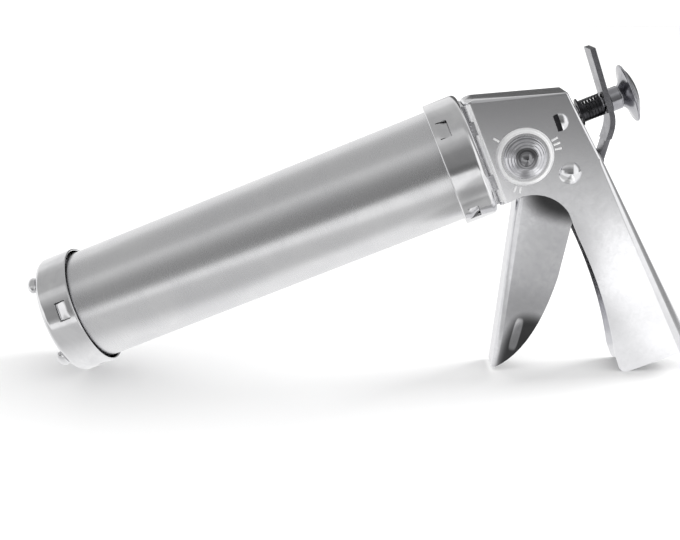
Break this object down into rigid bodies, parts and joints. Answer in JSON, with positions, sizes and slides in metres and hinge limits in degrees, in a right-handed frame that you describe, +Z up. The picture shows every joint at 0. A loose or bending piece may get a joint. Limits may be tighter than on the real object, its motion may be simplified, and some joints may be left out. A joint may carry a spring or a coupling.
{
  "type": "cookie press",
  "caption": "Trigger-operated cookie press: bayonet-capped barrel, folded steel head and grip, ratchet plunger with release plate, and a thickness dial.",
  "frame": {"origin": "on the table, below the middle of the bounding box, as the press rests on its cap's rim and its grip's toe", "axes": "+X from the mouth towards the grip, +Y away from the dial side, +Z up"},
  "size_m": [0.3241, 0.0596, 0.157],
  "materials": {
    "barrel_aluminium": "satin drawn tube",
    "cap_plate": "spun and polished",
    "disc_aluminium": "satin stamped sheet",
    "head_plate": "bright nickel plate over steel",
    "fastener_steel": "zinc plated",
    "bush_brass": "turned",
    "rod_steel": "ground and zinc plated",
    "rivet_nickel": "domed and polished",
    "plate_steel": "punched and zinc plated",
    "spring_steel": "oiled spring wire",
    "dial_nickel": "turned and polished"
  },
  "bodies": {
    "frame": {"handle_frame": "head_plate", "rear_collar": "cap_plate", "head_bracket": "head_plate", "head_rivets": "fastener_steel", "rod_bush": "bush_brass", "pivot_rivet": "rivet_nickel", "spring_washer": "fastener_steel", "release_spring": "spring_steel", "drive_spring": "spring_steel"},
    "barrel": {"barrel": "barrel_aluminium"},
    "front_cap": {"front_cap": "cap_plate", "forming_disc": "disc_aluminium"},
    "plunger": {"plunger_rod": "rod_steel", "piston_cup": "disc_aluminium", "piston_backing": "fastener_steel", "piston_hub": "fastener_steel", "piston_screw": "fastener_steel", "knob_neck": "cap_plate", "rod_knob": "cap_plate"},
    "trigger": {"trigger_lever": "head_plate", "trigger_sleeve": "fastener_steel"},
    "drive_plate": {"drive_plate": "plate_steel"},
    "dial": {"thickness_dial": "dial_nickel", "dial_shaft": "fastener_steel", "stop_cams": "bush_brass", "dial_retainer": "fastener_steel"},
    "release": {"release_plate": "plate_steel"}
  },
  "joints": [
    {"name": "barrel_twist", "type": "hinge", "parent": "frame", "child": "barrel", "pos_m": [-0.01061, 0, 0.08221], "axis": [0.9282, 0, 0.3722], "range_deg": [0, 35]},
    {"name": "cap_twist", "type": "hinge", "parent": "barrel", "child": "front_cap", "pos_m": [-0.14241, 0, 0.02936], "axis": [0.9282, 0, 0.3722], "range_deg": [-35, 0]},
    {"name": "plunger_slide", "type": "slide", "parent": "frame", "child": "plunger", "axis": [0.9282, 0, 0.3722], "range_m": [0, 0.19]},
    {"name": "trigger_squeeze", "type": "hinge", "parent": "frame", "child": "trigger", "pos_m": [0.09567, 0, 0.09983], "axis": [0, -1, 0], "range_deg": [0, 26], "stiffness_Nm_per_rad": 0.25, "springref_deg": -20.05},
    {"name": "drive_slide", "type": "slide", "parent": "frame", "child": "drive_plate", "axis": [-0.9282, 0, -0.3722], "range_m": [0, 0.0066], "deforming": ["drive_spring"]},
    {"name": "dial_turn", "type": "hinge", "parent": "frame", "child": "dial", "pos_m": [0.07423, 0, 0.10761], "axis": [0, 1, 0], "range_deg": [-120, 120]},
    {"name": "release_press", "type": "hinge", "parent": "frame", "child": "release", "pos_m": [0.11076, 0, 0.10464], "axis": [0, -1, 0], "range_deg": [0, 5], "stiffness_Nm_per_rad": 0.6, "springref_deg": -11.46, "deforming": ["release_spring"]}
  ],
  "couplings": [
    {"joint": "drive_slide", "follows": "trigger_squeeze", "m_per_rad": 0.014543}
  ]
}
